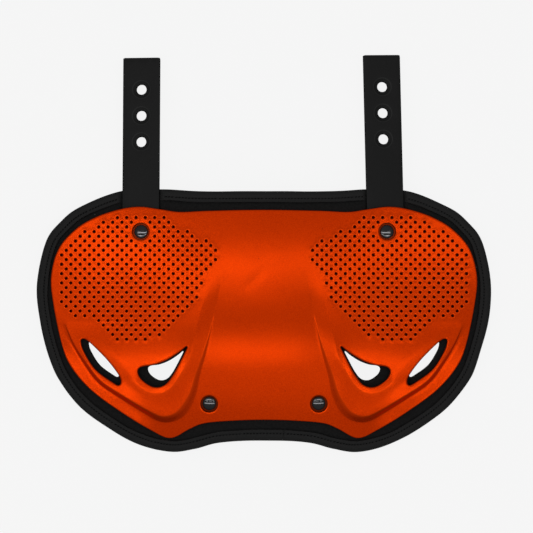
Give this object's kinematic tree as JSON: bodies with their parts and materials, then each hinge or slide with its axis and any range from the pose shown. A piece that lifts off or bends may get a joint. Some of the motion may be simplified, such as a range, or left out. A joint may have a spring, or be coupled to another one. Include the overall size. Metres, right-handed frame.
{
  "type": "football back plate",
  "caption": "Curved back plate for football shoulder pads: a moulded vented shell on a bound foam pad, hung on flexible straps with holes.",
  "frame": {"origin": "under the middle of the whole object, at the level of the surface that it rests on, pad side down", "axes": "+X across the width to the wearer's right, +Y up along the straps, +Z out of the shell, away from the back"},
  "size_m": [0.3304, 0.2888, 0.0357],
  "materials": {
    "shell_plastic": "satin moulded orange plastic",
    "pad_fabric": "matt black knit over foam",
    "binding_tape": "black folded tape, sewn",
    "strap_plastic": "matt black flexible plastic",
    "screw_metal": "black coated steel"
  },
  "bodies": {
    "root": {"shell": "shell_plastic", "foam_pad": "pad_fabric", "edge_binding": "binding_tape", "strap_left": "strap_plastic", "strap_right": "strap_plastic", "screw_upper_left": "screw_metal", "screw_upper_right": "screw_metal", "screw_lower_left": "screw_metal", "screw_lower_right": "screw_metal"}
  },
  "joints": []
}
